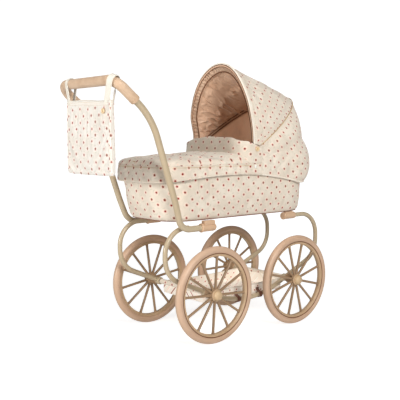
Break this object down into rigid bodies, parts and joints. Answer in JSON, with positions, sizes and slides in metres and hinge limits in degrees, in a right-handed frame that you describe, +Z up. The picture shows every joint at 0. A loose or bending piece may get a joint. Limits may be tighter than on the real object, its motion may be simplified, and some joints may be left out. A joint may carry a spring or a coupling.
{
  "type": "doll stroller",
  "caption": "Classic doll pram: curved spring chassis on spoked wheels, padded bassinet with apron and folding hood, wrapped push handle with a hanging bag, and a low cloth basket.",
  "frame": {"origin": "on the floor, midway along and across the whole stroller", "axes": "+X is the direction of travel, towards the hood, with the push handle at -X; +Y is the stroller's left side; +Z is up"},
  "size_m": [0.6412, 0.28, 0.6358],
  "materials": {
    "painted_tube": "khaki-beige semi-gloss paint",
    "wheel_plastic": "tan moulded plastic, satin",
    "tyre_plastic": "tan soft tyre, matt",
    "sleeve_plastic": "pale tan moulded plastic",
    "cap_plastic": "beige-gold domed cap",
    "bare_steel": "zinc-plated steel",
    "grip_leather": "smooth peach-tan leather",
    "printed_cotton": "cream cotton printed with small rust dots",
    "mattress_cotton": "cream quilted cotton",
    "base_wood": "fibreboard",
    "button_wood": "pale turned wood",
    "snap_plastic": "white press stud",
    "webbing": "cream woven webbing",
    "dark_webbing": "rust-brown webbing"
  },
  "bodies": {
    "chassis": {"rear_axle": "bare_steel", "front_axle": "bare_steel", "rear_right_washer": "bare_steel", "rear_right_axle_clip": "bare_steel", "rear_left_washer": "bare_steel", "rear_left_axle_clip": "bare_steel", "front_right_washer": "bare_steel", "front_right_axle_clip": "bare_steel", "front_left_washer": "bare_steel", "front_left_axle_clip": "bare_steel", "left_side_tube": "painted_tube", "right_side_tube": "painted_tube", "handle_tube": "painted_tube", "handle_grip": "grip_leather", "left_rear_sleeve": "sleeve_plastic", "left_front_sleeve": "sleeve_plastic", "left_hood_pivot": "bare_steel", "left_flap_button": "button_wood", "left_apron_snap": "snap_plastic", "left_rear_basket_tab": "dark_webbing", "left_front_basket_tab": "dark_webbing", "right_rear_sleeve": "sleeve_plastic", "right_front_sleeve": "sleeve_plastic", "right_hood_pivot": "bare_steel", "right_flap_button": "button_wood", "right_apron_snap": "snap_plastic", "right_rear_basket_tab": "dark_webbing", "right_front_basket_tab": "dark_webbing", "bassinet_shell": "printed_cotton", "base_board": "base_wood", "mattress": "mattress_cotton", "rim_wire": "bare_steel", "apron": "printed_cotton", "wind_flap": "printed_cotton", "hood_back_panel": "printed_cotton", "basket": "printed_cotton"},
    "rear_right_wheel_set": {"rear_right_wheel": "wheel_plastic", "rear_right_tyre": "tyre_plastic", "rear_right_hub_cap": "cap_plastic"},
    "rear_left_wheel_set": {"rear_left_wheel": "wheel_plastic", "rear_left_tyre": "tyre_plastic", "rear_left_hub_cap": "cap_plastic"},
    "front_right_wheel_set": {"front_right_wheel": "wheel_plastic", "front_right_tyre": "tyre_plastic", "front_right_hub_cap": "cap_plastic"},
    "front_left_wheel_set": {"front_left_wheel": "wheel_plastic", "front_left_tyre": "tyre_plastic", "front_left_hub_cap": "cap_plastic"},
    "hood_middle": {"hood_middle_bow": "bare_steel", "hood_front_panel": "printed_cotton"},
    "hood_front": {"hood_front_bow": "bare_steel"},
    "bag_set": {"bag": "printed_cotton", "bag_button": "button_wood", "left_bag_strap": "webbing", "right_bag_strap": "webbing"}
  },
  "joints": [
    {"name": "rear_right_wheel_spin", "type": "hinge", "parent": "chassis", "child": "rear_right_wheel_set", "pos_m": [-0.06035, -0.122, 0.11], "axis": [0, 1, 0], "continuous": true},
    {"name": "rear_left_wheel_spin", "type": "hinge", "parent": "chassis", "child": "rear_left_wheel_set", "pos_m": [-0.06035, 0.122, 0.11], "axis": [0, 1, 0], "continuous": true},
    {"name": "front_right_wheel_spin", "type": "hinge", "parent": "chassis", "child": "front_right_wheel_set", "pos_m": [0.20265, -0.122, 0.11], "axis": [0, 1, 0], "continuous": true},
    {"name": "front_left_wheel_spin", "type": "hinge", "parent": "chassis", "child": "front_left_wheel_set", "pos_m": [0.20265, 0.122, 0.11], "axis": [0, 1, 0], "continuous": true},
    {"name": "hood_middle_fold", "type": "hinge", "parent": "chassis", "child": "hood_middle", "pos_m": [0.07965, 0, 0.434], "axis": [0, 1, 0], "range_deg": [0, 22], "deforming": ["hood_back_panel"]},
    {"name": "hood_front_fold", "type": "hinge", "parent": "hood_middle", "child": "hood_front", "pos_m": [0.07965, 0, 0.434], "axis": [0, 1, 0], "range_deg": [0, 50], "deforming": ["hood_front_panel"]},
    {"name": "bag_swing", "type": "hinge", "parent": "chassis", "child": "bag_set", "pos_m": [-0.30835, 0, 0.573], "axis": [0, 1, 0], "range_deg": [-70, 70]}
  ],
  "couplings": [
    {"joint": "hood_middle_fold", "follows": "hood_front_fold", "ratio": 0.44}
  ]
}
